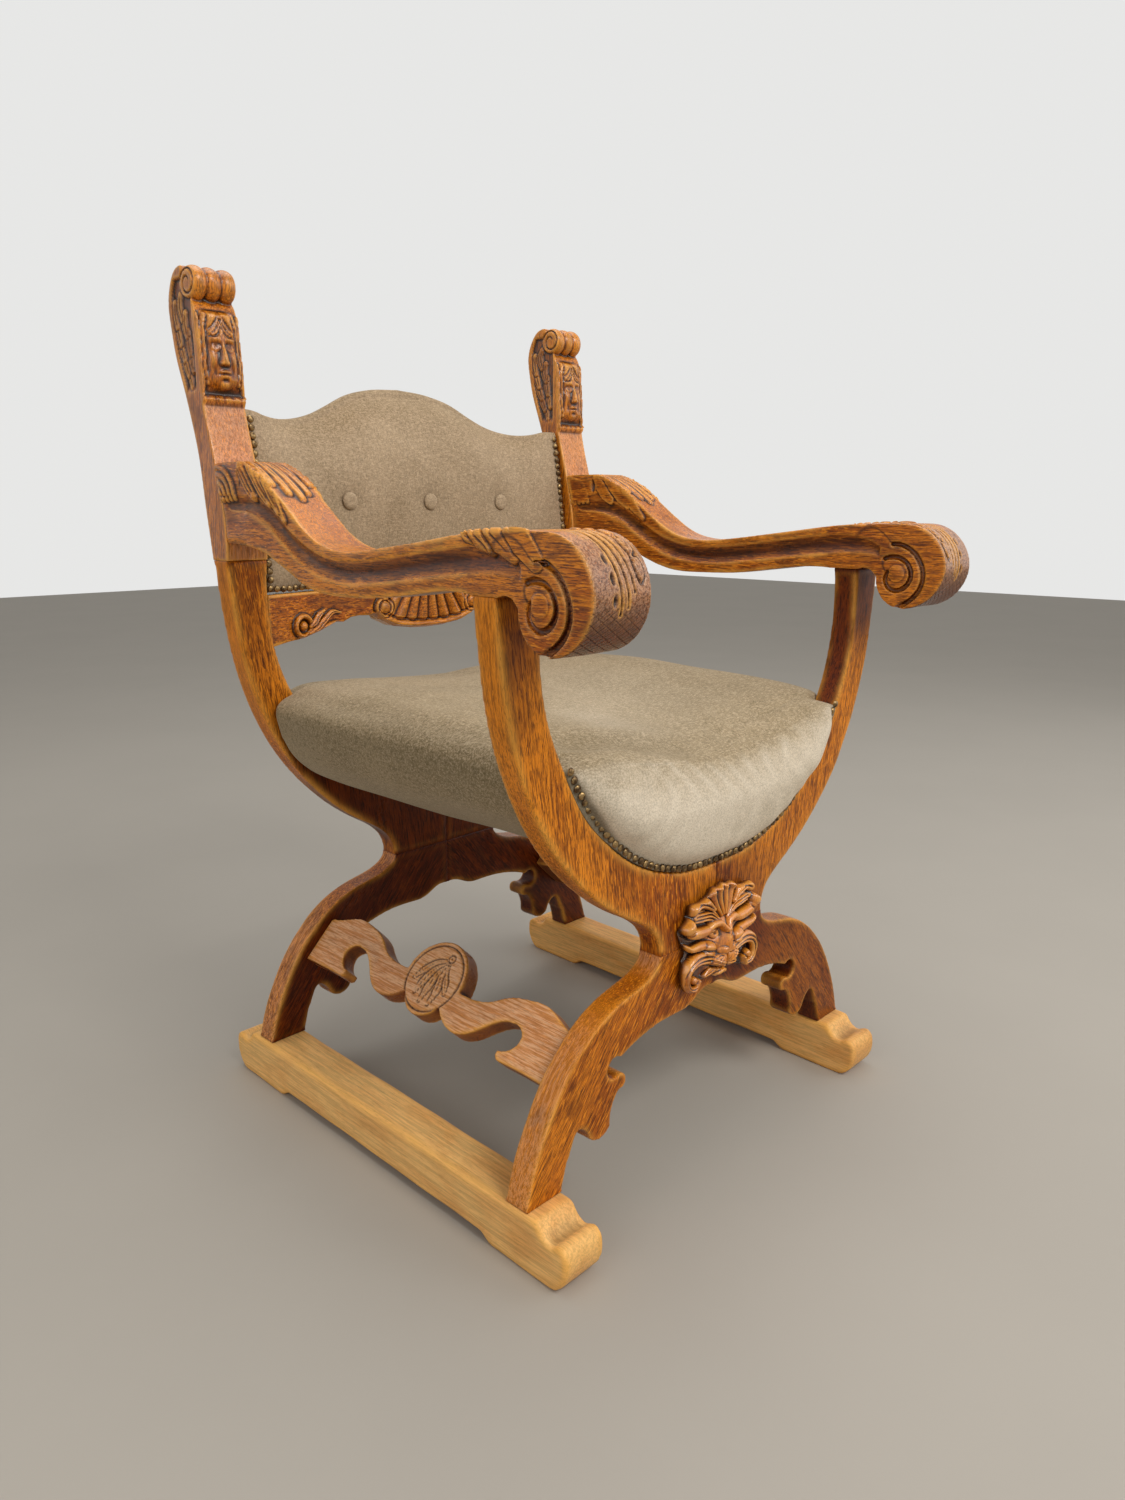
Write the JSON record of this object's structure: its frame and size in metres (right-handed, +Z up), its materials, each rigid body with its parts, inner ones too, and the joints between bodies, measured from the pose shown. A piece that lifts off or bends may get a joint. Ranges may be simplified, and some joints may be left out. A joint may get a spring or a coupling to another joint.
{
  "type": "savonarola chair",
  "caption": "Carved oak Savonarola armchair with a fixed X frame, scrolled arms, lion mask, carved head finials and olive velvet seat and back.",
  "frame": {"origin": "middle of the bounding box on the floor", "axes": "+Z up, the chair's front faces -Y, +X to the right seen from the front"},
  "size_m": [0.663, 0.6786, 0.9922],
  "materials": {
    "oak_frame": "satin",
    "oak_carved": "satin",
    "oak_runner": "matte",
    "oak_stretcher": "matte",
    "inner_wood": "matte",
    "dowel_wood": "matte",
    "velvet": "matte",
    "button_cloth": "matte",
    "webbing": "matte",
    "screw_steel": "satin"
  },
  "bodies": {
    "root": {"front_arc_left": "oak_frame", "front_arc_right": "oak_frame", "front_leg_left": "oak_frame", "front_leg_right": "oak_frame", "rear_arc_left": "oak_frame", "rear_arc_right": "oak_frame", "rear_leg_left": "oak_frame", "rear_leg_right": "oak_frame", "sled_left": "oak_runner", "sled_right": "oak_runner", "stretcher_left": "oak_stretcher", "stretcher_right": "oak_stretcher", "rear_post_left": "oak_carved", "rear_post_right": "oak_carved", "arm_left": "oak_carved", "arm_right": "oak_carved", "lion_mask": "oak_carved", "back_rail": "oak_carved", "back_pad": "velvet", "seat_pad": "velvet", "back_buttons": "button_cloth", "back_crest_rail": "inner_wood", "seat_board_front": "inner_wood", "seat_board_rear": "inner_wood", "seat_rail_left": "inner_wood", "seat_rail_right": "inner_wood", "seat_slat_left": "inner_wood", "seat_slat_right": "inner_wood", "seat_slat_centre": "inner_wood", "seat_webbing": "webbing", "front_frame_dowels": "dowel_wood", "rear_frame_dowels": "dowel_wood", "foot_dowels": "dowel_wood", "arm_dowels": "dowel_wood", "post_dowels": "dowel_wood", "stretcher_dowels": "dowel_wood", "back_rail_dowels": "dowel_wood", "mask_pins": "dowel_wood", "crest_rail_pins": "dowel_wood", "seat_screws": "screw_steel"}
  },
  "joints": []
}
